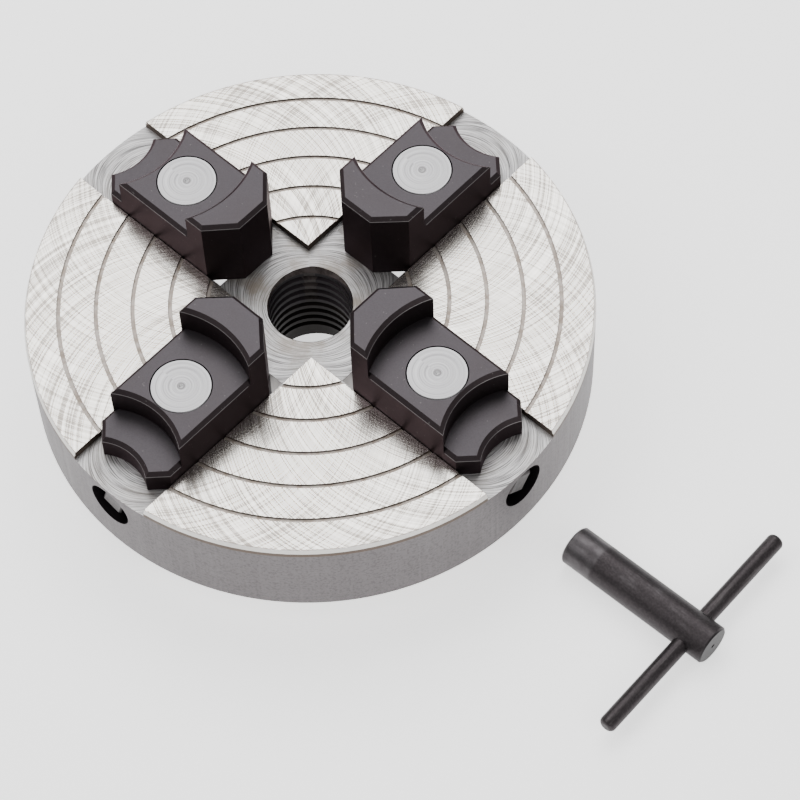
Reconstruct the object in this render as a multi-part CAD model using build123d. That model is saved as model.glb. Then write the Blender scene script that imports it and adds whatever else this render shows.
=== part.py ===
"""Four-jaw independent lathe chuck, 6 inch, with its T-handled key.

Millimetres. The spindle axis is Z and the chuck lies face up: z = 0 is the back of the hub, which is
screwed against the spindle. The jaws run along +X, +Y, -X and -Y, and the key lies on the same plane
beside the rim. Pieces of one station are drawn on the +X side and turned about Z to their place.
"""
from build123d import *
import math
import os

# ---- body -------------------------------------------------------------------------------------------
body_radius = 76.2
disc_thickness = 28.0
hub_radius = 22.0
hub_height = 8.0
rim_chamfer_in = 0.5
rim_chamfer_down = 1.3
back_chamfer = 0.6
groove_radii = (27.2, 37.2, 47.2, 57.0, 67.0)
groove_width = 1.15
groove_depth = 0.5
channel_width = 25.4
channel_depth = 2.5

# ---- spindle thread, one inch by eight turns an inch --------------------------------------------------
spindle_pitch = 25.4 / 8
spindle_minor_radius = 11.2
spindle_major_radius = 12.7
spindle_root_flat = 0.08
register_radius = 12.9
register_length = 5.0
mouth_chamfer = 0.35

# ---- jaw ----------------------------------------------------------------------------------------------
jaw_side_clearance = 0.2
jaw_nose_width = 10.4
jaw_nose_bevel = 7.0
jaw_tall_height = 22.0
jaw_middle_height = 13.3
jaw_low_height = 4.9
jaw_tall_reach = 9.8
jaw_tall_arc = 26.6
jaw_middle_reach = 35.0
jaw_middle_arc = 21.5
jaw_low_reach = 45.2
jaw_low_arc = 15.1
jaw_end_width = 16.0
jaw_length = 47.7
jaw_edge_bevel = 1.1
nose_radii = {"a": 20.7, "b": 19.0, "c": 19.0, "d": 21.3}
nose_radius_closed = 5.8
nose_radius_open = 29.0

# ---- jaw nut and its post -------------------------------------------------------------------------------
post_radius = 8.0
post_from_nose = 25.6
post_gap = 0.22
post_mark_radius = 0.5
nut_ledge = 3.8
nut_height = 10.7
neck_edge = 0.5
plate_thickness = 4.5
hold_screw_along = 5.2
post_wall = 0.694
hold_screw_grip = 8.0

# ---- drive screw, left-handed so that turning the key clockwise closes the jaw --------------------------
screw_below_channel = 7.8
screw_pitch = 2.0
screw_core_radius = 4.0
screw_crest_radius = 5.0
thread_root_width = 1.25
thread_crest_width = 0.65
screw_square = 6.35
screw_square_length = 6.0
screw_recess = 1.2
collar_step = 0.95
collar_length = 1.5
yoke_neck_radius = 3.8
tail_radius = 3.5
tail_length = 5.0
key_hole_step = 0.65

# ---- thrust yoke ------------------------------------------------------------------------------------------
yoke_thickness = 3.0
yoke_width = 14.0
yoke_arm_rise = 5.3
foot_thickness = 3.0
foot_length = 7.0
foot_screw_length = 8.0

# ---- fasteners: M3 cap screws under the jaws, M3 countersunk screws in the yoke feet -----------------------
m3_radius = 1.5
m3_clearance_radius = 1.7
m3_cap_radius = 2.75
m3_cap_height = 3.0
m3_cap_flats = 2.5
m3_sunk_radius = 2.9
m3_sunk_flats = 2.0

# ---- key -----------------------------------------------------------------------------------------------------
key_hole_play = 1.05
key_barrel_length = 46.5
key_square_depth = 8.5
key_square_clearance = 0.15
key_barrel_chamfer = 0.5
key_bar_radius = 2.35
key_bar_length = 72.0
key_bar_from_end = 6.6
key_from_rim = 14.0
key_aside = 4.5
key_turn = 1.6

# ---- fits ------------------------------------------------------------------------------------------------------
slide_clearance = 0.15
turn_clearance = 0.06
thread_clearance = 0.12
flat_clearance = 0.1

# ---- places that follow from the sizes above -------------------------------------------------------------------
face_z = hub_height + disc_thickness
jaw_width = channel_width - 2 * jaw_side_clearance
collar_radius = screw_crest_radius + collar_step
key_hole_radius = collar_radius + key_hole_step
key_barrel_radius = key_hole_radius - key_hole_play
hold_screw_ring = post_radius + post_wall + m3_clearance_radius
hold_screw_across = math.sqrt(hold_screw_ring ** 2 - hold_screw_along ** 2)
neck_width = 2 * (hold_screw_across + m3_clearance_radius + neck_edge)
nut_width = neck_width + 2 * nut_ledge
nut_length = 2 * post_radius
floor_z = face_z - channel_depth
plate_z = floor_z - plate_thickness
screw_z = floor_z - screw_below_channel
nut_bottom_z = plate_z - flat_clearance - nut_height
post_closed = nose_radius_closed + post_from_nose
post_open = nose_radius_open + post_from_nose
pocket_inner = post_closed - nut_length / 2 - 0.9
pocket_outer = post_open + nut_length / 2 + 0.3
yoke_inner = pocket_outer + collar_length + 0.3
yoke_outer = yoke_inner + yoke_thickness
square_start = yoke_outer + collar_length
square_end = body_radius - screw_recess
stations = {"a": 0, "b": 90, "c": 180, "d": 270}


def rod(radius, start, end):
    """Round bar along Z between two heights."""
    return Pos(0, 0, start) * Cylinder(radius, end - start, align=(Align.CENTER, Align.CENTER, Align.MIN))


def block(x_range, y_range, z_range):
    """Box between two corners."""
    size = [high - low for low, high in (x_range, y_range, z_range)]
    middle = [(high + low) / 2 for low, high in (x_range, y_range, z_range)]
    return Pos(*middle) * Box(*size)


def helical_rib(root_radius, crest_radius, root_width, crest_width, pitch, start, end, left=False):
    """Trapezoidal rib wound about Z, to fuse on a bar or to cut from a hole."""
    path = Pos(0, 0, start) * Helix(pitch, end - start, root_radius, lefthand=left)
    half_root, half_crest = root_width / 2, crest_width / 2
    depth = crest_radius - root_radius
    outline = Polyline((0, -half_root), (depth, -half_crest), (depth, half_crest), (0, half_root), close=True)
    section = Plane(origin=path @ 0, x_dir=(1, 0, 0), z_dir=(0, -1, 0)) * make_face(outline)
    return sweep(section, path=path, is_frenet=True)


def grow(width, clearance):
    """Width of a groove that clears a rib of this width on both flanks."""
    return width + 2 * clearance


# ---- body -------------------------------------------------------------------------------------------------------
def make_body():
    """Disc and hub in one casting, with face grooves, cross channel, screw stations and threaded bore."""
    profile = Polyline(
        (0, 0), (hub_radius - back_chamfer, 0), (hub_radius, back_chamfer), (hub_radius, hub_height),
        (body_radius - back_chamfer, hub_height), (body_radius, hub_height + back_chamfer),
        (body_radius, face_z - rim_chamfer_down), (body_radius - rim_chamfer_in, face_z), (0, face_z), close=True)
    body = revolve(Plane.XZ * make_face(profile), Axis.Z)

    for radius in groove_radii:
        ring = rod(radius + groove_width / 2, face_z - groove_depth, face_z + 1)
        body -= ring - rod(radius - groove_width / 2, face_z - 2 * groove_depth, face_z + 2)

    reach = body_radius + 1
    half = channel_width / 2
    for turn in (0, 90):
        body -= Rot(Z=turn) * block((-reach, reach), (-half, half), (floor_z, face_z + 1))

    station = station_space()
    for turn in stations.values():
        body -= Rot(Z=turn) * station

    body -= rod(spindle_minor_radius, -1, face_z)
    body -= rod(register_radius, -1, register_length)
    body -= Pos(0, 0, floor_z - mouth_chamfer) * Cone(
        spindle_minor_radius, spindle_minor_radius + 2 * mouth_chamfer, 2 * mouth_chamfer,
        align=(Align.CENTER, Align.CENTER, Align.MIN))
    depth = spindle_major_radius - spindle_minor_radius
    opening = spindle_root_flat + 2 * depth * math.tan(math.radians(30))
    extra = 0.05
    slope = math.tan(math.radians(30))
    body -= helical_rib(spindle_minor_radius - extra, spindle_major_radius, opening + 2 * extra * slope,
                        spindle_root_flat, spindle_pitch, register_length - 1.2, floor_z + 1.2)
    return body


def station_space():
    """Everything cut out of the body for one jaw: slot, nut pocket, screw bores and yoke seat."""
    half_slot = neck_width / 2 + slide_clearance
    half_pocket = nut_width / 2 + slide_clearance
    half_yoke = yoke_width / 2 + flat_clearance
    space = block((pocket_inner, pocket_outer), (-half_slot, half_slot), (plate_z, floor_z + 1))
    space += block((pocket_inner, pocket_outer), (-half_pocket, half_pocket), (-1, plate_z))
    space += block((yoke_inner - flat_clearance, yoke_outer + flat_clearance), (-half_yoke, half_yoke),
                   (hub_height - 1, screw_z + yoke_arm_rise + flat_clearance))
    space += block((yoke_inner, yoke_outer + foot_length + flat_clearance), (-half_yoke, half_yoke),
                   (hub_height - 1, hub_height + foot_thickness))
    bores = rod(tail_radius + turn_clearance, pocket_inner - tail_length - 0.4, pocket_inner + 1)
    bores += rod(collar_radius + turn_clearance, pocket_outer - 1, square_start + 1)
    bores += rod(key_hole_radius, square_start - collar_length, body_radius + 1)
    space += Pos(0, 0, screw_z) * Rot(Y=90) * bores
    space += Pos(foot_screw_x(), 0, 0) * rod(m3_radius, hub_height, hub_height + foot_screw_length + 0.5)
    return space


def foot_screw_x():
    return yoke_outer + foot_length / 2


# ---- jaw ---------------------------------------------------------------------------------------------------------
def step_outline(reach, arc):
    """Plan of the jaw from its nose back to a hollow arc whose deepest point is at this reach."""
    half = jaw_width / 2
    half_nose = jaw_nose_width / 2
    corner = reach + arc - math.sqrt(arc ** 2 - half ** 2)
    nose = Polyline((corner, half), (jaw_nose_bevel, half), (0, half_nose), (0, -half_nose),
                    (jaw_nose_bevel, -half), (corner, -half))
    return make_face([nose, ThreePointArc((corner, -half), (reach, 0), (corner, half))])


def low_outline():
    """Plan of the whole jaw: the nose, straight sides, cut corners and the hollow arc of the end."""
    half = jaw_width / 2
    half_nose = jaw_nose_width / 2
    half_end = jaw_end_width / 2
    shoulder = jaw_length - (half - half_end)
    sides = Polyline((jaw_length, half_end), (shoulder, half), (jaw_nose_bevel, half), (0, half_nose),
                     (0, -half_nose), (jaw_nose_bevel, -half), (shoulder, -half), (jaw_length, -half_end))
    return make_face([sides, ThreePointArc((jaw_length, -half_end), (jaw_low_reach, 0), (jaw_length, half_end))])


def make_jaw():
    """Stepped jaw with its nose at x = 0 and its sole at z = 0."""
    rise = channel_depth - slide_clearance
    jaw = extrude(low_outline(), jaw_low_height + rise)
    jaw = chamfer(jaw.faces().sort_by(Axis.Z)[-1].edges(), jaw_edge_bevel)
    for reach, arc, height in ((jaw_middle_reach, jaw_middle_arc, jaw_middle_height),
                               (jaw_tall_reach, jaw_tall_arc, jaw_tall_height)):
        step = extrude(step_outline(reach, arc), height + rise)
        jaw += chamfer(step.faces().sort_by(Axis.Z)[-1].edges(), jaw_edge_bevel)
    jaw -= Pos(post_from_nose, 0, 0) * rod(post_radius + post_gap, -1, jaw_tall_height + 10)
    for x, y in hold_screw_places():
        jaw -= Pos(post_from_nose + x, y, 0) * rod(m3_radius, -1, hold_screw_grip + 0.5)
    return jaw


# ---- jaw nut -------------------------------------------------------------------------------------------------------
def hold_screw_places():
    """Centres of the four screws that join a jaw to its nut, measured from the post's axis."""
    return [(x, y) for x in (-hold_screw_along, hold_screw_along) for y in (-hold_screw_across, hold_screw_across)]


def make_jaw_nut():
    """Nut block with its neck and post, cross-threaded along X, the post's axis at x = 0."""
    half_length = nut_length / 2
    half_neck = neck_width / 2
    top_of_block = plate_z - flat_clearance
    top_of_neck = floor_z - flat_clearance
    nut = block((-half_length, half_length), (-nut_width / 2, nut_width / 2), (nut_bottom_z, top_of_block))
    nut = chamfer(nut.edges().filter_by(Axis.X), 0.8)
    nut += block((-half_length, half_length), (-half_neck, half_neck), (top_of_block - 1, top_of_neck))
    post_top = face_z + jaw_middle_height
    post = rod(post_radius, top_of_neck - 1, post_top)
    post = chamfer(post.faces().sort_by(Axis.Z)[-1].edges(), 0.2)
    post -= Pos(0, 0, post_top) * Cone(0, post_mark_radius, post_mark_radius, align=(Align.CENTER, Align.CENTER,
                                                                                   Align.MAX))
    nut += post
    for x, y in hold_screw_places():
        nut -= Pos(x, y, 0) * rod(m3_clearance_radius, nut_bottom_z - 1, top_of_neck + 1)
    thread = rod(screw_core_radius + thread_clearance, -half_length - 1, half_length + 1)
    thread += helical_rib(screw_core_radius, screw_crest_radius + thread_clearance,
                          grow(thread_root_width, thread_clearance), grow(thread_crest_width, thread_clearance),
                          screw_pitch, -half_length - screw_pitch, half_length + screw_pitch, left=True)
    return nut - Pos(0, 0, screw_z) * Rot(Y=90) * thread


# ---- drive screw ---------------------------------------------------------------------------------------------------
def make_drive_screw(post_x):
    """Drive screw along X, turned so that its thread meets the nut whose post stands at post_x."""
    thread_start = pocket_inner + 0.3
    collar_start = pocket_outer + 0.1
    screw = rod(tail_radius, pocket_inner - tail_length, thread_start + 1)
    screw += rod(screw_core_radius, thread_start, collar_start + 0.5)
    screw += rod(collar_radius, collar_start, yoke_inner)
    screw += rod(yoke_neck_radius, yoke_inner - 0.5, yoke_outer + 0.5)
    screw += rod(collar_radius, yoke_outer, square_start)
    square = Pos(0, 0, square_start - 0.5) * Box(screw_square, screw_square, square_end - square_start + 0.5,
                                                align=(Align.CENTER, Align.CENTER, Align.MIN))
    screw += chamfer(square.faces().sort_by(Axis.Z)[-1].edges(), 0.5)
    first_turn = math.ceil(thread_start / screw_pitch) * screw_pitch
    last_turn = (math.floor(collar_start / screw_pitch) + 0.5) * screw_pitch
    sunk = 0.08
    slope = (thread_root_width - thread_crest_width) / (screw_crest_radius - screw_core_radius)
    screw += helical_rib(screw_core_radius - sunk, screw_crest_radius, thread_root_width + sunk * slope,
                         thread_crest_width, screw_pitch, first_turn, last_turn, left=True)
    phase = 360 * post_x / screw_pitch
    return Pos(0, 0, screw_z) * Rot(Y=90) * Rot(Z=phase) * screw


# ---- thrust yoke and fasteners ---------------------------------------------------------------------------------------
def make_yoke():
    """Forked plate that straddles the drive screw's neck and takes its thrust, with a foot on the back."""
    half = yoke_width / 2
    slot = yoke_neck_radius + turn_clearance
    inner, outer = yoke_inner + turn_clearance, yoke_outer - turn_clearance
    yoke = block((inner, outer), (-half, half), (hub_height, screw_z + yoke_arm_rise))
    yoke += block((inner, yoke_outer + foot_length), (-half, half),
                  (hub_height, hub_height + foot_thickness - turn_clearance))
    yoke -= Pos(0, 0, screw_z) * Rot(Y=90) * rod(slot, inner - 1, outer + 1)
    yoke -= block((inner - 1, outer + 1), (-slot, slot), (screw_z, screw_z + yoke_arm_rise + 1))
    depth = m3_sunk_radius - m3_clearance_radius
    sink = Cone(m3_sunk_radius, m3_clearance_radius, depth, align=(Align.CENTER, Align.CENTER, Align.MIN))
    yoke -= Pos(foot_screw_x(), 0, hub_height) * sink
    yoke -= Pos(foot_screw_x(), 0, 0) * rod(m3_clearance_radius, hub_height, hub_height + foot_thickness + 1)
    return yoke


def hex_socket(flats, depth):
    """Hexagonal recess, its mouth at z = 0 and rising along +Z."""
    hexagon = RegularPolygon(flats / 2, 6, major_radius=False)
    return extrude(hexagon, depth) + Pos(0, 0, depth) * Cone(flats / 2, 0.1, flats / 3, align=(
        Align.CENTER, Align.CENTER, Align.MIN))


def make_yoke_screw():
    """Countersunk M3 screw through the yoke's foot, head at the back."""
    depth = m3_sunk_radius - m3_radius
    gap = turn_clearance
    head = Cone(m3_sunk_radius - gap, m3_radius - gap, depth, align=(Align.CENTER, Align.CENTER, Align.MIN))
    screw = Pos(0, 0, hub_height) * head + rod(m3_radius - gap, hub_height + depth, hub_height + foot_screw_length)
    screw -= Pos(0, 0, hub_height) * hex_socket(m3_sunk_flats, 1.1)
    return Pos(foot_screw_x(), 0, 0) * screw


def make_hold_screws():
    """Four M3 cap screws that pull the jaw down on the nut, beside the drive screw."""
    head_z = nut_bottom_z - m3_cap_height
    screw = rod(m3_cap_radius, head_z, nut_bottom_z)
    screw = chamfer(screw.faces().sort_by(Axis.Z)[0].edges(), 0.3)
    screw += rod(m3_radius - turn_clearance, nut_bottom_z, floor_z + slide_clearance + hold_screw_grip)
    screw -= Pos(0, 0, head_z) * hex_socket(m3_cap_flats, 1.5)
    group = Part()
    for x, y in hold_screw_places():
        group += Pos(x, y, 0) * screw
    return group


# ---- key ----------------------------------------------------------------------------------------------------------------
def make_key():
    """Barrel and cross bar of the key, lying along X with the socket end at x = 0."""
    barrel = Rot(Y=90) * rod(key_barrel_radius, 0, key_barrel_length)
    ends = barrel.faces().filter_by(Axis.X)
    barrel = chamfer(ends.edges(), key_barrel_chamfer)
    flats = screw_square + 2 * key_square_clearance
    barrel -= block((-1, key_square_depth), (-flats / 2, flats / 2), (-flats / 2, flats / 2))
    barrel -= Rot(Y=90) * rod(flats / 2 - 0.2, key_square_depth - 0.5, key_square_depth + 2)
    barrel -= Pos(key_barrel_length, 0, 0) * Rot(Y=90) * Cone(0, 0.7, 0.7, align=(
        Align.CENTER, Align.CENTER, Align.MAX))
    bar_x = key_barrel_length - key_bar_from_end
    hole = Pos(bar_x, 0, 0) * Rot(X=90) * rod(key_bar_radius, -key_barrel_radius - 1, key_barrel_radius + 1)
    barrel -= hole
    bar = Rot(X=90) * rod(key_bar_radius, -key_bar_length / 2, key_bar_length / 2)
    bar = Pos(bar_x, 0, 0) * fillet(bar.faces().filter_by(Axis.Y).edges(), key_bar_radius * 0.6)
    place = Pos(body_radius + key_from_rim, key_aside, key_barrel_radius) * Rot(Z=key_turn)
    return place * barrel, place * bar


# ---- assembly --------------------------------------------------------------------------------------------------------------
def save(shape, name):
    shape.label = name
    export_step(shape, f"parts/{name}.step")


def main():
    os.makedirs("parts", exist_ok=True)
    save(make_body(), "chuck_body")
    jaw, nut, yoke, yoke_screw, hold_screws = (
        make_jaw(), make_jaw_nut(), make_yoke(), make_yoke_screw(), make_hold_screws())
    jaw_sole = floor_z + slide_clearance
    for name, turn in stations.items():
        nose_x = nose_radii[name]
        post_x = nose_x + post_from_nose
        spin = Rot(Z=turn)
        save(spin * Pos(nose_x, 0, jaw_sole) * jaw, f"jaw_{name}")
        save(spin * Pos(post_x, 0, 0) * nut, f"jaw_nut_{name}")
        save(spin * Pos(post_x, 0, 0) * hold_screws, f"jaw_screws_{name}")
        save(spin * make_drive_screw(post_x), f"drive_screw_{name}")
        save(spin * yoke, f"thrust_yoke_{name}")
        save(spin * yoke_screw, f"yoke_screw_{name}")
    barrel, bar = make_key()
    save(barrel, "key_barrel")
    save(bar, "key_bar")


if __name__ == "__main__":
    main()
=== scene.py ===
"""Finishes for a four-jaw independent lathe chuck and its key, with a studio stage.

Every shape of the chuck comes from the frame. This file gives each piece its metal and its machining
marks, worked out from where a point lies on the piece, and sets the floor, the light and the camera.
"""
import math

import bpy
import numpy as np
from bpy.props import FloatProperty, FloatVectorProperty, PointerProperty
from bpy.types import Operator, Panel, PropertyGroup
from mathutils import Matrix, Vector


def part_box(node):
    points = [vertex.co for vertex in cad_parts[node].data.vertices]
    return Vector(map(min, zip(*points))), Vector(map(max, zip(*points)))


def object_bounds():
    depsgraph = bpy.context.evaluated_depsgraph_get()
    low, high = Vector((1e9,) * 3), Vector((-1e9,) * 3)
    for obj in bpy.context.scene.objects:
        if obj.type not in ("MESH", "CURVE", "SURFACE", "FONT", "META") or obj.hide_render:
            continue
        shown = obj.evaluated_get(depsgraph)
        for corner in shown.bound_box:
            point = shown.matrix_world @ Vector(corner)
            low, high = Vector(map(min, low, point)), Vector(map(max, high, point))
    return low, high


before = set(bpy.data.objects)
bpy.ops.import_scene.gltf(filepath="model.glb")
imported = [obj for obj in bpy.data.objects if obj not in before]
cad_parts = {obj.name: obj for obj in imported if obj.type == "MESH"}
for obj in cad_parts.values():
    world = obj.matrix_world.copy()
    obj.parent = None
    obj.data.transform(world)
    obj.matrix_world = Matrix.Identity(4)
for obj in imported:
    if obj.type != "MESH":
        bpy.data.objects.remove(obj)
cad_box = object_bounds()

bl_info = {
    "name": "Lathe chuck finishes",
    "version": (1, 0, 0),
    "blender": (4, 5, 0),
    "location": "View3D > Sidebar > Chuck",
    "description": "Gives a four-jaw lathe chuck and its key their metals and sets a studio stage",
    "category": "Object",
}

MM = 0.001  # metres in a millimetre

# ---- places read from the frame -------------------------------------------------------------------
BODY_LOW, BODY_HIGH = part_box("chuck_body")
FACE_Z = BODY_HIGH.z
RIM_RADIUS = BODY_HIGH.x
STATIONS = {"a": 0.0, "b": 90.0, "c": 180.0, "d": 270.0}
GROOVE_DEPTH = 0.5 * MM
CHANNEL_DEPTH = 2.5 * MM
BORE_RADIUS = 12.75 * MM
SCREW_Z = (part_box("drive_screw_a")[0].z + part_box("drive_screw_a")[1].z) / 2
MIDDLE_STEP = 13.3 * MM
LOW_STEP = 4.9 * MM
JAW_BEVEL = 1.1 * MM


def outward(turn):
    """Unit vector of a station's outward direction."""
    angle = math.radians(turn)
    return Vector((round(math.cos(angle)), round(math.sin(angle)), 0.0))


def nose_distance(name):
    """How far a jaw's nose stands from the spindle axis."""
    low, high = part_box(f"jaw_{name}")
    away = outward(STATIONS[name])
    return min(abs(low.dot(away)), abs(high.dot(away)))


def post_centre(name):
    """Middle of the jaw nut, which is the axis of its post."""
    low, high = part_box(f"jaw_nut_{name}")
    return (low + high) / 2


# ---- shader maths ---------------------------------------------------------------------------------
class Socket:
    """One value in a material's nodes; the usual operators on it add Math nodes."""

    def __init__(self, finish, socket):
        self.finish = finish
        self.socket = socket

    def math(self, operation, *others):
        return self.finish.node("ShaderNodeMath", {"operation": operation}, [self, *others])

    def __add__(self, other):
        return self.math("ADD", other)

    __radd__ = __add__

    def __sub__(self, other):
        return self.math("SUBTRACT", other)

    def __rsub__(self, other):
        return self.finish.node("ShaderNodeMath", {"operation": "SUBTRACT"}, [other, self])

    def __mul__(self, other):
        return self.math("MULTIPLY", other)

    __rmul__ = __mul__

    def __truediv__(self, other):
        return self.math("DIVIDE", other)

    def __abs__(self):
        return self.math("ABSOLUTE")

    def sqrt(self):
        return self.math("SQRT")

    def least(self, other):
        return self.math("MINIMUM", other)

    def most(self, other):
        return self.math("MAXIMUM", other)

    def step(self, low, high):
        """0 below low, 1 above high, and a smooth rise between."""
        ranged = {"interpolation_type": "SMOOTHSTEP", "clamp": True}
        ends = {"Value": self, "From Min": low, "From Max": high}
        return self.finish.node("ShaderNodeMapRange", ranged, ends)

    def near(self, middle, half, soft):
        """1 within half of the middle, falling to 0 over soft on each side."""
        return 1.0 - abs(self - middle).step(half, half + soft)


class Finish:
    """A material with one metal shader, and the nodes that vary it over the surface."""

    def __init__(self, name, color, metallic=1.0, roughness=0.4):
        self.material = bpy.data.materials.new(name)
        self.material.use_nodes = True
        self.tree = self.material.node_tree
        self.shader = self.tree.nodes["Principled BSDF"]
        self.shader.inputs["Metallic"].default_value = metallic
        self.shader.inputs["Roughness"].default_value = roughness
        self.shader.inputs["Base Color"].default_value = (*color, 1.0)
        place = self.node("ShaderNodeTexCoord", out="Object")
        self.place = place
        split = self.tree.nodes.new("ShaderNodeSeparateXYZ")
        self.tree.links.new(place.socket, split.inputs[0])
        self.x, self.y, self.z = (Socket(self, output) for output in split.outputs)

    def node(self, kind, settings=None, inputs=None, out=0):
        """Adds a node, sets it, then links or sets its inputs, and gives one output."""
        new = self.tree.nodes.new(kind)
        for key, value in (settings or {}).items():
            setattr(new, key, value)
        pairs = inputs.items() if isinstance(inputs, dict) else enumerate(inputs or [])
        for key, value in pairs:
            if isinstance(value, Socket):
                self.tree.links.new(value.socket, new.inputs[key])
            else:
                new.inputs[key].default_value = value
        return Socket(self, new.outputs[out])

    def feed(self, name, value):
        """Links a varying value to an input of the shader."""
        self.tree.links.new(value.socket, self.shader.inputs[name])

    def normal(self):
        """The surface's direction on X, Y and Z."""
        geometry = self.tree.nodes.new("ShaderNodeNewGeometry")
        split = self.tree.nodes.new("ShaderNodeSeparateXYZ")
        self.tree.links.new(geometry.outputs["Normal"], split.inputs[0])
        return [Socket(self, output) for output in split.outputs]

    def point(self, x, y, z=0.0):
        return self.node("ShaderNodeCombineXYZ", None, [x, y, z])

    def noise(self, place, scale, detail=2.0, rough=0.5):
        """Noise from 0 to 1 at a place, so many cells to the metre."""
        values = {"Vector": place, "Scale": scale, "Detail": detail, "Roughness": rough}
        return self.node("ShaderNodeTexNoise", {"normalize": True}, values)

    def lines(self, across, along, per_unit, stretch, detail=2.0, rough=0.6):
        """Fine lines: noise that changes quickly across them and slowly along them."""
        return self.noise(self.point(across * per_unit, along * stretch), 1.0, detail, rough)

    def mix(self, share, first, second):
        """Colour between two colours, by a share from 0 to 1."""
        new = self.tree.nodes.new("ShaderNodeMix")
        new.data_type = "RGBA"
        for key, value in ((0, share), (6, first), (7, second)):
            if isinstance(value, Socket):
                self.tree.links.new(value.socket, new.inputs[key])
            else:
                new.inputs[key].default_value = value if key == 0 else (*value, 1.0)
        return Socket(self, new.outputs[2])

    def bump(self, height, depth, strength=1.0):
        """Small relief: height from 0 to 1 over a depth in metres."""
        values = {"Strength": strength, "Distance": depth, "Height": height}
        self.feed("Normal", self.node("ShaderNodeBump", None, values))

    def wear(self, *nodes):
        """Puts this finish on CAD nodes."""
        for name in nodes:
            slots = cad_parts[name].data.materials
            slots.clear()
            slots.append(self.material)


# ---- settings -------------------------------------------------------------------------------------
def colour(name, text, value):
    return FloatVectorProperty(name=name, description=text, default=value, subtype="COLOR", size=3,
                               min=0.0, max=1.0)


def share(name, text, value):
    return FloatProperty(name=name, description=text, default=value, subtype="FACTOR", min=0.0, max=1.0)


def length(name, text, value):
    return FloatProperty(name=name, description=text, default=value, unit="LENGTH", min=0.0)


class ChuckBodySettings(PropertyGroup):
    face_color: colour("Face", "Ground steel of the face", (0.88, 0.85, 0.80))
    scratch_color: colour("Scratches", "Grinding scratches on the face", (0.25, 0.225, 0.20))
    floor_color: colour("Channels", "Milled steel of the channel floors", (0.62, 0.61, 0.61))
    # Painted shade: the rim is the same steel as the face but gets a near-black colour, for the darker
    # surroundings it reflects.
    rim_color: colour("Rim", "Satin steel of the rim and back", (0.135, 0.124, 0.127))
    # Painted shade: a near-black brown on the upright walls of the grooves and channels and on the rim below
    # its chamfer.
    wall_shade_color: colour("Grime", "Oil and dirt in grooves and corners", (0.10, 0.075, 0.06))
    wheel_radius: length("Grinding wheel", "Radius of the arcs that the grinding wheel left", 46 * MM)
    wheel_offset: length("Wheel offset", "Distance of the wheel's axis from the spindle axis", 44 * MM)
    cutter_radius: length("Cutter", "Radius of the swirls in the channels", 14 * MM)


class JawSettings(PropertyGroup):
    # Painted light and shade: the jaws are one black oxide, but their sides and bevels get a darker colour as
    # painted shade and their tops a lighter one as painted light.
    shaded_side_color: colour("Sides", "Black oxide on the jaws' sides", (0.036, 0.0285, 0.030))
    lit_top_color: colour("Tops", "Charcoal of the jaws' tops", (0.069, 0.063, 0.068))
    # Painted highlight: a lighter line along the foot of each bevel, for the light that edge catches.
    highlight_edge_color: colour("Edges", "Worn line along the bevels", (0.26, 0.245, 0.245))
    oxide_roughness: share("Sheen", "Roughness of the black oxide", 0.42)


class SteelSettings(PropertyGroup):
    post_color: colour("Posts", "Bright turned steel", (0.42, 0.415, 0.425))
    screw_color: colour("Fasteners", "Dark steel of the cap screws", (0.06, 0.055, 0.055))
    ring_pitch: length("Turning pitch", "Spacing of the turned rings on the posts", 0.15 * MM)


class KeySettings(PropertyGroup):
    oxide_color: colour("Key oxide", "Dark grey of the key", (0.040, 0.035, 0.037))
    worn_color: colour("Worn steel", "Bare steel where the key has rubbed", (0.105, 0.098, 0.102))
    worn_length: length("Worn length", "Bare stretch at the key's socket end", 9.5 * MM)


class StageSettings(PropertyGroup):
    floor_color: colour("Floor", "Plain pale floor", (0.93, 0.93, 0.93))
    floor_glow: FloatProperty(name="Floor glow", description="Light given off by the floor",
                              default=1.3, min=0.0)
    sky_strength: FloatProperty(name="Sky", description="Strength of the sky overhead",
                                default=0.75, min=0.0)
    edge_strength: FloatProperty(name="Horizon", description="Strength of the sky's edge",
                                 default=0.35, min=0.0)
    lens: FloatProperty(name="Lens", description="Focal length", default=138.8, min=1.0,
                        subtype="DISTANCE_CAMERA")
    azimuth: FloatProperty(name="Azimuth", description="Camera's bearing", default=math.radians(45.13),
                           subtype="ANGLE")
    elevation: FloatProperty(name="Elevation", description="Camera's height angle",
                             default=math.radians(58.41), subtype="ANGLE")
    roll: FloatProperty(name="Roll", description="Camera's roll", default=math.radians(2.75), subtype="ANGLE")
    distance: length("Distance", "Camera's distance from where it aims", 803.7 * MM)
    aim: FloatVectorProperty(name="Aim", description="Where the camera looks", size=3, subtype="TRANSLATION",
                             unit="LENGTH", default=(38.94 * MM, -6.67 * MM, 36.0 * MM))


# ---- chuck body -----------------------------------------------------------------------------------
def grinding_arcs(finish, radius, bearing, wheel, offset):
    """Marks of a wheel of this radius whose axis goes round at this offset.

    The wheel's axis stands at the bearing whose angle from the point is
    acos((r r + offset offset - wheel wheel) / (2 r offset)), one on each side, so every point lies on two
    arcs and each arc is named by the bearing of its wheel.
    """
    inside = (radius * radius + (offset ** 2 - wheel ** 2)) / (radius * (2 * offset))
    spread = inside.most(-1.0).least(1.0).math("ARCCOSINE")
    lines = []
    for side, shift in ((1.0, 3.7), (-1.0, 11.3)):
        named = bearing + spread * side + shift
        lines.append((finish.lines(named, radius, 105.0, 20.0, 2.0, 0.6),
                      finish.lines(named, radius, 22.0, 12.0, 2.0, 0.5)))
    return lines


def milling_swirls(finish, along, across, cutter):
    """Arcs that a cutter left as it was fed along: along minus sqrt(cutter cutter - across across)."""
    reach = (cutter ** 2 - across * across).most(0.0).sqrt()
    return finish.lines(along - reach, across, 3600.0, 70.0, 3.0, 0.7)


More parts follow.
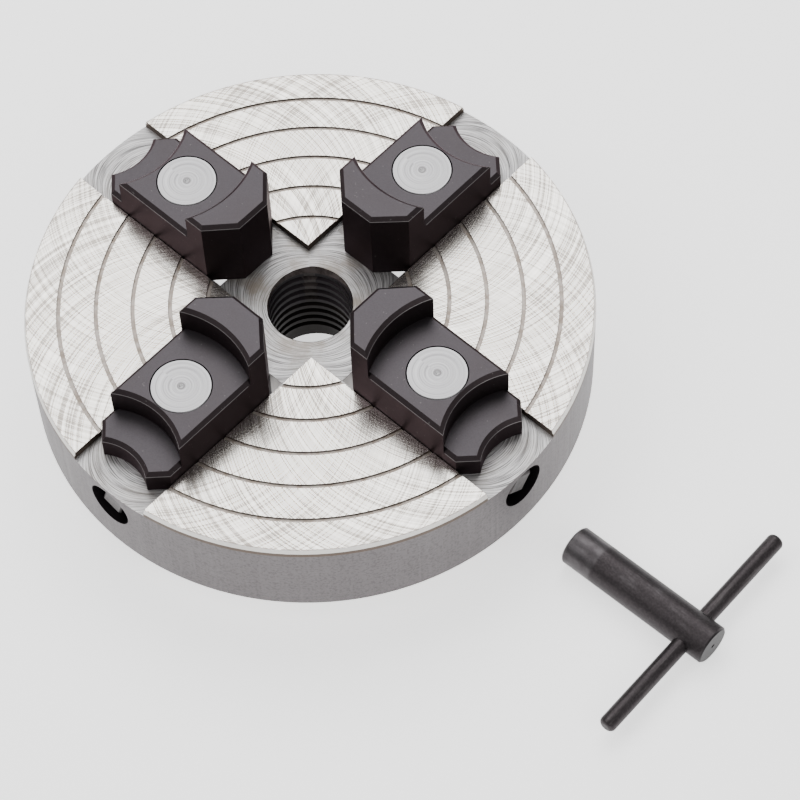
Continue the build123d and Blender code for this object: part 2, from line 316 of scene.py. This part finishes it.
def finish_chuck_body(settings):
    """Ground face, grooves and channel walls darkened as painted shade, swirled channels, a rim in painted
    shade, turned back, and bore and keyholes darkened with painted shade, told apart by place.
    """
    steel = Finish("ground_steel", settings.face_color)
    x, y, z = steel.x, steel.y, steel.z
    up = steel.normal()[2]
    radius = (x * x + y * y).sqrt()
    bearing = y.math("ARCTAN2", x)
    level = up.step(0.9, 0.98)
    floor_z = FACE_Z - CHANNEL_DEPTH
    on_face = z.step(FACE_Z - 0.06 * MM, FACE_Z - 0.02 * MM)
    past_thread = radius.step(BORE_RADIUS - 1.6 * MM, BORE_RADIUS - 1.5 * MM)
    on_floor = level * z.near(floor_z, 0.05 * MM, 0.05 * MM) * past_thread
    below = 1.0 - z.step(floor_z - 0.25 * MM, floor_z - 0.15 * MM)
    in_bore = (1.0 - radius.step(BORE_RADIUS + 0.25 * MM, BORE_RADIUS + 0.3 * MM)) * (1.0 - on_floor)
    rim = radius.step(RIM_RADIUS - 0.12 * MM, RIM_RADIUS - 0.06 * MM)

    arcs = grinding_arcs(steel, radius, bearing, settings.wheel_radius, settings.wheel_offset)
    (fine_one, broad_one), (fine_two, _) = arcs
    scratch = fine_one * 0.6 + fine_two * 0.4
    cloud = steel.noise(steel.place, 38.0, 3.0, 0.55)
    # Noise for real grime in the groove floors and bore, and for the dashes of the painted shade line at the
    # rim.
    dirt_and_shade_noise = steel.noise(steel.place, 420.0, 3.0, 0.6)
    scored = fine_one.step(0.41, 0.64) * 0.84 + fine_two.step(0.44, 0.66) * 0.62
    face = steel.mix(scored * 0.85, settings.face_color, settings.scratch_color)
    face = steel.mix(broad_one.step(0.42, 0.72) * 0.20, face, settings.scratch_color)
    # Painted shade: a thin dashed dark line on the face by the chamfer, for the chamfer's shading.
    rim_shade_line = radius.near(RIM_RADIUS - 0.62 * MM, 0.10 * MM, 0.08 * MM) * dirt_and_shade_noise.step(0.30, 0.50)
    face = steel.mix(rim_shade_line * 0.75, face, (0.16, 0.14, 0.13))
    face = steel.mix(cloud.step(0.45, 0.8) * 0.14, face, (0.66, 0.60, 0.52))

    groove_floor = level * z.near(FACE_Z - GROOVE_DEPTH, 0.05 * MM, 0.05 * MM)
    grimy = steel.mix(dirt_and_shade_noise.step(0.35, 0.7), (0.42, 0.38, 0.35), (0.26, 0.215, 0.18))
    # Painted shade on the walls of the grooves and channels and on the rim band. The groove floors keep their
    # real grime and the chamfer its steel.
    wall = steel.mix(groove_floor, settings.wall_shade_color, grimy)
    near_rim = radius.step(RIM_RADIUS - 0.52 * MM, RIM_RADIUS - 0.47 * MM)
    edge = z.near(FACE_Z - 0.65 * MM, 0.62 * MM, 0.02 * MM) * near_rim
    wall = steel.mix(edge, wall, (0.66, 0.64, 0.61))

    inner = radius.step(24 * MM, 34 * MM)
    swirl_x = milling_swirls(steel, abs(x), y, settings.cutter_radius)
    swirl_y = milling_swirls(steel, abs(y), x, settings.cutter_radius)
    on_x = (abs(x) - abs(y)).step(-0.5 * MM, 0.5 * MM)
    swirl = swirl_y + (swirl_x - swirl_y) * on_x
    stain = steel.noise(steel.place, 95.0, 5.0, 0.62)
    floor = steel.mix(swirl.step(0.34, 0.62), (0.105, 0.100, 0.100), settings.floor_color)
    floor = steel.mix(stain.step(0.44, 0.72) * (0.85 - inner * 0.55), floor, (0.27, 0.235, 0.20))

    turned = steel.lines(z, bearing, 5200.0, 3.0, 2.0, 0.6)
    speck = steel.noise(steel.place, 1300.0, 2.0, 0.6)
    # Painted shade: the rim's dark colour, with real turning marks and specks on it.
    side = steel.mix(turned.step(0.35, 0.75) * 0.38, settings.rim_color, (0.19, 0.176, 0.18))
    side = steel.mix(speck.step(0.45, 0.68) * 0.60, side, (0.085, 0.077, 0.079))
    rings = steel.lines(radius, bearing, 3600.0, 1.0, 2.0, 0.6)
    back = steel.mix(rings.step(0.35, 0.75) * 0.4, (0.42, 0.40, 0.39), (0.56, 0.54, 0.52))
    # Dark thread with real grime mottling, then a near-black colour further down the bore as painted shade.
    bore = steel.mix(dirt_and_shade_noise.step(0.4, 0.7), (0.060, 0.050, 0.048), (0.028, 0.023, 0.022))
    bore = steel.mix(z.step(0.35 * FACE_Z, 0.9 * FACE_Z), (0.010, 0.008, 0.0075), bore)
    # Painted shade: masks the walls of the keyholes in the rim, which get a near-black colour.
    off_line = abs(x).least(abs(y))
    in_hole = (1.0 - off_line.step(6.7 * MM, 6.8 * MM)) * z.near(SCREW_Z, 6.7 * MM, 0.1 * MM)
    in_hole = in_hole * (1.0 - radius.step(RIM_RADIUS - 0.03 * MM, RIM_RADIUS - 0.01 * MM))

    shade = steel.mix(on_face, wall, face)
    shade = steel.mix(on_floor, shade, floor)
    shade = steel.mix(below, shade, back)
    shade = steel.mix(below * rim, shade, side)
    shade = steel.mix(in_bore * (1.0 - on_face), shade, bore)
    # Painted shade in the keyholes.
    shade = steel.mix(in_hole, shade, (0.022, 0.018, 0.020))
    steel.feed("Base Color", shade)

    dull = 0.12 + scratch * 0.24 + cloud * 0.05
    dull = dull + (1.0 - on_face) * (0.20 + stain * 0.10)
    steel.feed("Roughness", dull)
    outside = rim * (turned * 0.5 + speck * 0.5) + (1.0 - rim) * rings
    relief = on_face * scratch + on_floor * swirl + below * outside
    steel.bump(relief, 0.03 * MM, 0.9)
    steel.wear("chuck_body")


class CHUCK_OT_body(Operator):
    """Finish the chuck body: ground face, grooves, channels, rim, back and bore"""
    bl_idname = "chuck.body"
    bl_label = "Finish chuck body"

    def execute(self, context):
        finish_chuck_body(context.scene.chuck_body_settings)
        return {"FINISHED"}


# ---- jaws -----------------------------------------------------------------------------------------
def finish_jaw(name, settings):
    """Black oxide with a grain, a thin painted highlight line at the foot of each bevel, and tops and sides in
    painted light and shade.
    """
    oxide = Finish(f"black_oxide_{name}", settings.shaded_side_color)
    oxide.shader.inputs["Specular Tint"].default_value = (0.62, 0.56, 0.58, 1.0)
    away = outward(STATIONS[name])
    along = oxide.x * away.x + oxide.y * away.y - nose_distance(name)
    across = oxide.y * away.x - oxide.x * away.y
    height = oxide.z - FACE_Z
    up = oxide.normal()[2]
    top = (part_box(f"jaw_{name}")[1].z - FACE_Z)
    middle_only = along.step(13.5 * MM, 13.9 * MM)
    low_only = along.step(39.2 * MM, 39.6 * MM)
    # Masks a thin line at the foot of each bevel for the painted highlight.
    line = height.near(top - JAW_BEVEL, 0.05 * MM, 0.07 * MM)
    line = line.most(height.near(MIDDLE_STEP - JAW_BEVEL, 0.05 * MM, 0.07 * MM) * middle_only)
    line = line.most(height.near(LOW_STEP - JAW_BEVEL, 0.05 * MM, 0.07 * MM) * low_only)
    steep = 1.0 - up.step(0.80, 0.95)
    broken = oxide.noise(oxide.place, 260.0, 3.0, 0.6)
    grain = oxide.noise(oxide.place, 2600.0, 3.0, 0.65)
    cloud = oxide.noise(oxide.place, 70.0, 3.0, 0.55)
    speck = oxide.noise(oxide.place, 1100.0, 1.0, 0.5).step(0.73, 0.78)
    ground = oxide.lines(along, across, 5200.0, 320.0, 2.0, 0.6)

    # Painted light and shade: faces that point up take the lighter top colour, steeper faces and bevels the
    # darker side colour.
    level = up.step(0.85, 0.98)
    base = oxide.mix(level, settings.shaded_side_color, settings.lit_top_color)
    base = oxide.mix(grain.step(0.35, 0.75) * 0.30, base, (0.050, 0.043, 0.048))
    base = oxide.mix(cloud.step(0.4, 0.8) * 0.25, base, (0.045, 0.036, 0.036))
    base = oxide.mix(speck * 0.35, base, (0.17, 0.16, 0.16))
    # Painted highlight on steep faces at the foot of the bevels, broken up by noise.
    edge_highlight = line * steep * (0.55 + broken * 0.55)
    base = oxide.mix(edge_highlight, base, settings.highlight_edge_color)
    oxide.feed("Base Color", base)
    oxide.feed("Roughness", settings.oxide_roughness + grain * 0.12 - cloud * 0.06 - edge_highlight * 0.1)
    oxide.bump(grain * 0.6 + ground * 0.4, 0.015 * MM, 0.5)
    oxide.wear(f"jaw_{name}")


class CHUCK_OT_jaws(Operator):
    """Finish the four stepped jaws in black oxide with painted highlight lines along the edges"""
    bl_idname = "chuck.jaws"
    bl_label = "Finish jaws"

    def execute(self, context):
        for name in STATIONS:
            finish_jaw(name, context.scene.chuck_jaw_settings)
        return {"FINISHED"}


# ---- nuts, screws and yokes -----------------------------------------------------------------------
def finish_jaw_nut(name, settings):
    """Bright steel with turned rings round the post's axis, a dark ring and a bright dot at its centre."""
    bright = Finish(f"turned_steel_{name}", settings.post_color)
    centre = post_centre(name)
    dx = bright.x - centre.x
    dy = bright.y - centre.y
    radius = (dx * dx + dy * dy).sqrt()
    bearing = dy.math("ARCTAN2", dx)
    rings = bright.lines(radius, bearing, 1.0 / settings.ring_pitch, 0.12, 2.0, 0.6)
    fine = bright.lines(radius, bearing, 3.0 / settings.ring_pitch, 0.6, 2.0, 0.6)
    broad = bright.lines(radius, bearing, 1100.0, 0.25, 1.0, 0.5)
    shade = bright.mix(rings.step(0.40, 0.66) * 0.8, settings.post_color, (0.22, 0.215, 0.22))
    shade = bright.mix(broad.step(0.45, 0.7) * 0.22, shade, (0.60, 0.60, 0.61))
    ring = radius.near(0.85 * MM, 0.18 * MM, 0.15 * MM)
    shade = bright.mix(ring * 0.7, shade, (0.10, 0.095, 0.095))
    dot = 1.0 - radius.step(0.38 * MM, 0.52 * MM)
    shade = bright.mix(dot * 0.8, shade, (0.85, 0.85, 0.85))
    bright.feed("Base Color", shade)
    bright.feed("Roughness", 0.34 + rings * 0.14)
    bright.bump(rings * 0.6 + fine * 0.4, 0.02 * MM, 0.6)
    bright.wear(f"jaw_nut_{name}")


def finish_plain_steel(settings):
    """Drive screws and thrust yokes in plain steel darkened to near black as painted shade for the holes they
    sit in, cap screws in dark oxide.
    """
    # Painted shade: near black, so the drive screws' ends look dark deep in the keyholes.
    screw_shade_color = (0.070, 0.064, 0.064)
    plain = Finish("machined_steel", screw_shade_color)
    mark = plain.noise(plain.place, 900.0, 3.0, 0.6)
    plain.feed("Base Color", plain.mix(mark.step(0.35, 0.75) * 0.5, screw_shade_color, (0.035, 0.031, 0.031)))
    plain.feed("Roughness", 0.36 + mark * 0.16)
    plain.bump(mark, 0.015 * MM, 0.4)
    dark = Finish("fastener_oxide", settings.screw_color)
    rub = dark.noise(dark.place, 700.0, 3.0, 0.6)
    dark.feed("Base Color", dark.mix(rub.step(0.5, 0.8) * 0.4, settings.screw_color, (0.20, 0.19, 0.18)))
    dark.feed("Roughness", 0.40 + rub * 0.15)
    for name in STATIONS:
        plain.wear(f"drive_screw_{name}", f"thrust_yoke_{name}")
        dark.wear(f"jaw_screws_{name}", f"yoke_screw_{name}")


class CHUCK_OT_steel(Operator):
    """Finish the jaw nuts with their posts, the drive screws, the yokes and the fasteners"""
    bl_idname = "chuck.steel"
    bl_label = "Finish nuts and screws"

    def execute(self, context):
        for name in STATIONS:
            finish_jaw_nut(name, context.scene.chuck_steel_settings)
        finish_plain_steel(context.scene.chuck_steel_settings)
        return {"FINISHED"}


# ---- key ------------------------------------------------------------------------------------------
def finish_key(settings):
    """Worn brown-grey oxide, bare steel at the socket end, and a near-black end face on the barrel as painted
    shade.
    """
    low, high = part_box("key_barrel")
    oxide = Finish("key_oxide", settings.oxide_color)
    x = oxide.x
    grain = oxide.noise(oxide.place, 1500.0, 4.0, 0.65)
    blotch = oxide.noise(oxide.place, 210.0, 4.0, 0.6)
    drawn = oxide.noise(oxide.point(oxide.x * 90.0, oxide.y * 1500.0, oxide.z * 1500.0), 1.0, 3.0, 0.6)
    ragged = x + (blotch - 0.5) * (2.0 * MM)
    bare = 1.0 - ragged.step(low.x + settings.worn_length - 0.3 * MM, low.x + settings.worn_length + 0.5 * MM)
    bare = bare * (0.35 + blotch.step(0.35, 0.65) * 0.65)
    # Painted shade: the barrel's end face gets a colour darker than the rest of the oxide.
    end = x.step(high.x - 0.55 * MM, high.x - 0.35 * MM)
    crown = oxide.z.step(low.z + 8.6 * MM, high.z)
    scuffed = crown * blotch.step(0.45, 0.7) * drawn.step(0.4, 0.65)
    base = oxide.mix(grain.step(0.35, 0.75) * 0.45, settings.oxide_color, (0.085, 0.076, 0.078))
    base = oxide.mix(scuffed * 0.30, base, (0.17, 0.16, 0.165))
    base = oxide.mix(bare * 0.62, base, settings.worn_color)
    base = oxide.mix(end * 0.95, base, (0.026, 0.024, 0.025))
    oxide.feed("Base Color", base)
    oxide.feed("Roughness", 0.40 + grain * 0.14 - bare * 0.08)
    oxide.bump(grain * 0.5 + drawn * 0.5, 0.03 * MM, 0.5)
    oxide.wear("key_barrel")

    rod = Finish("key_bar_oxide", settings.oxide_color)
    grain = rod.noise(rod.place, 1500.0, 4.0, 0.65)
    drawn = rod.noise(rod.point(rod.x * 1500.0, rod.y * 90.0, rod.z * 1500.0), 1.0, 3.0, 0.6)
    base = rod.mix(grain.step(0.35, 0.75) * 0.45, settings.oxide_color, (0.085, 0.076, 0.078))
    base = rod.mix(drawn.step(0.5, 0.75) * 0.3, base, (0.15, 0.14, 0.14))
    rod.feed("Base Color", base)
    rod.feed("Roughness", 0.40 + grain * 0.14)
    rod.bump(grain * 0.5 + drawn * 0.5, 0.03 * MM, 0.5)
    rod.wear("key_bar")


class CHUCK_OT_key(Operator):
    """Finish the key's barrel and bar in worn oxide"""
    bl_idname = "chuck.key"
    bl_label = "Finish key"

    def execute(self, context):
        finish_key(context.scene.chuck_key_settings)
        return {"FINISHED"}


# ---- stage ----------------------------------------------------------------------------------------
def make_floor(settings):
    """A round pale floor: rings of points at radius R t, t from 0 to 1, flat at the object's lowest point."""
    radius, rings, spokes = 6.0, 6, 96
    height = cad_box[0][2] - 0.2 * MM
    bearing = np.linspace(0.0, 2 * np.pi, spokes, endpoint=False)
    out = radius * np.linspace(0.0, 1.0, rings + 1)[1:]
    grid = np.stack([out[:, None] * np.cos(bearing), out[:, None] * np.sin(bearing),
                     np.full((rings, spokes), height)], -1).reshape(-1, 3)
    points = np.vstack([[[0.0, 0.0, height]], grid])
    here = np.arange(spokes)
    after = (here + 1) % spokes
    faces = [np.stack([np.zeros(spokes, int), 1 + here, 1 + after], -1).tolist()]
    for ring in range(rings - 1):
        inner, outer = 1 + ring * spokes, 1 + (ring + 1) * spokes
        faces.append(np.stack([inner + here, outer + here, outer + after, inner + after], -1).tolist())
    mesh = bpy.data.meshes.new("floor")
    mesh.from_pydata(points.tolist(), [], [face for band in faces for face in band])
    floor = bpy.data.objects.new("floor", mesh)
    bpy.context.scene.collection.objects.link(floor)
    plain = Finish("pale_floor", settings.floor_color, metallic=0.0, roughness=0.9)
    plain.shader.inputs["Emission Color"].default_value = (1.0, 1.0, 1.0, 1.0)
    plain.shader.inputs["Emission Strength"].default_value = settings.floor_glow
    mesh.materials.append(plain.material)


def add_panel_light(name, place, aim, width, height, power):
    """A soft rectangular light at a place, facing a point."""
    light = bpy.data.lights.new(name, "AREA")
    light.shape = "RECTANGLE"
    light.size, light.size_y, light.energy = width, height, power
    holder = bpy.data.objects.new(name, light)
    bpy.context.scene.collection.objects.link(holder)
    holder.location = place
    holder.rotation_euler = (Vector(aim) - Vector(place)).to_track_quat("-Z", "Y").to_euler()


def direction(azimuth, elevation):
    """Unit vector from the object towards a bearing and height."""
    flat = math.cos(elevation)
    return Vector((math.sin(azimuth) * flat, -math.cos(azimuth) * flat, math.sin(elevation)))


def add_camera(settings):
    """Camera at a bearing, height and distance from its aim, rolled about its own line of sight."""
    data = bpy.data.cameras.new("camera")
    data.lens = settings.lens
    data.sensor_width = 36.0
    data.clip_start, data.clip_end = 0.01, 50.0
    camera = bpy.data.objects.new("camera", data)
    bpy.context.scene.collection.objects.link(camera)
    towards = direction(settings.azimuth, settings.elevation)
    camera.location = Vector(settings.aim) + towards * settings.distance
    turn = (-towards).to_track_quat("-Z", "Y").to_matrix()
    camera.rotation_euler = (turn @ Matrix.Rotation(-settings.roll, 3, "Z")).to_euler()
    bpy.context.scene.camera = camera


def light_stage(settings):
    """A white sky, brighter overhead than at its edge, and three soft panels: behind, left and in front."""
    world = bpy.data.worlds.new("studio")
    bpy.context.scene.world = world
    world.use_nodes = True
    nodes, links = world.node_tree.nodes, world.node_tree.links
    place, split, height = (nodes.new(kind) for kind in (
        "ShaderNodeTexCoord", "ShaderNodeSeparateXYZ", "ShaderNodeMapRange"))
    links.new(place.outputs["Generated"], split.inputs[0])
    links.new(split.outputs["Z"], height.inputs["Value"])
    height.inputs["To Min"].default_value = settings.edge_strength
    height.inputs["To Max"].default_value = settings.sky_strength
    sky = nodes["Background"]
    sky.inputs["Color"].default_value = (1.0, 1.0, 1.0, 1.0)
    links.new(height.outputs["Result"], sky.inputs["Strength"])
    middle = (0.02, 0.0, 0.02)
    add_panel_light("back_panel", direction(math.radians(225), math.radians(58)) * 1.5, middle, 1.3, 1.0, 15.0)
    add_panel_light("left_panel", direction(math.radians(-40), math.radians(50)) * 1.6, middle, 1.0, 1.0, 8.0)
    add_panel_light("front_panel", direction(math.radians(80), math.radians(40)) * 1.8, middle, 1.2, 0.9, 5.0)


class CHUCK_OT_stage(Operator):
    """Make the floor, the lights and the camera"""
    bl_idname = "chuck.stage"
    bl_label = "Set the stage"

    def execute(self, context):
        settings = context.scene.chuck_stage_settings
        make_floor(settings)
        light_stage(settings)
        add_camera(settings)
        return {"FINISHED"}


# ---- panel and registration -----------------------------------------------------------------------
class CHUCK_PT_panel(Panel):
    """Lists the chuck's settings and the operators that finish it"""
    bl_label = "Lathe chuck"
    bl_idname = "CHUCK_PT_panel"
    bl_space_type = "VIEW_3D"
    bl_region_type = "UI"
    bl_category = "Chuck"

    def draw(self, context):
        for group, operator in STEPS:
            box = self.layout.box()
            settings = getattr(context.scene, group)
            for name in type(settings).__annotations__:
                box.prop(settings, name)
            box.operator(operator)


SETTINGS = {
    "chuck_body_settings": ChuckBodySettings,
    "chuck_jaw_settings": JawSettings,
    "chuck_steel_settings": SteelSettings,
    "chuck_key_settings": KeySettings,
    "chuck_stage_settings": StageSettings,
}
OPERATORS = (CHUCK_OT_body, CHUCK_OT_jaws, CHUCK_OT_steel, CHUCK_OT_key, CHUCK_OT_stage)
STEPS = tuple(zip(SETTINGS, (operator.bl_idname for operator in OPERATORS)))
CLASSES = (*SETTINGS.values(), *OPERATORS, CHUCK_PT_panel)


def register():
    for item in CLASSES:
        bpy.utils.register_class(item)
    for name, group in SETTINGS.items():
        setattr(bpy.types.Scene, name, PointerProperty(type=group))


def unregister():
    for name in SETTINGS:
        delattr(bpy.types.Scene, name)
    for item in reversed(CLASSES):
        bpy.utils.unregister_class(item)


def main():
    """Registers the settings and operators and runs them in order."""
    register()
    bpy.ops.chuck.body()
    bpy.ops.chuck.jaws()
    bpy.ops.chuck.steel()
    bpy.ops.chuck.key()
    bpy.ops.chuck.stage()


if __name__ == "__main__":
    main()
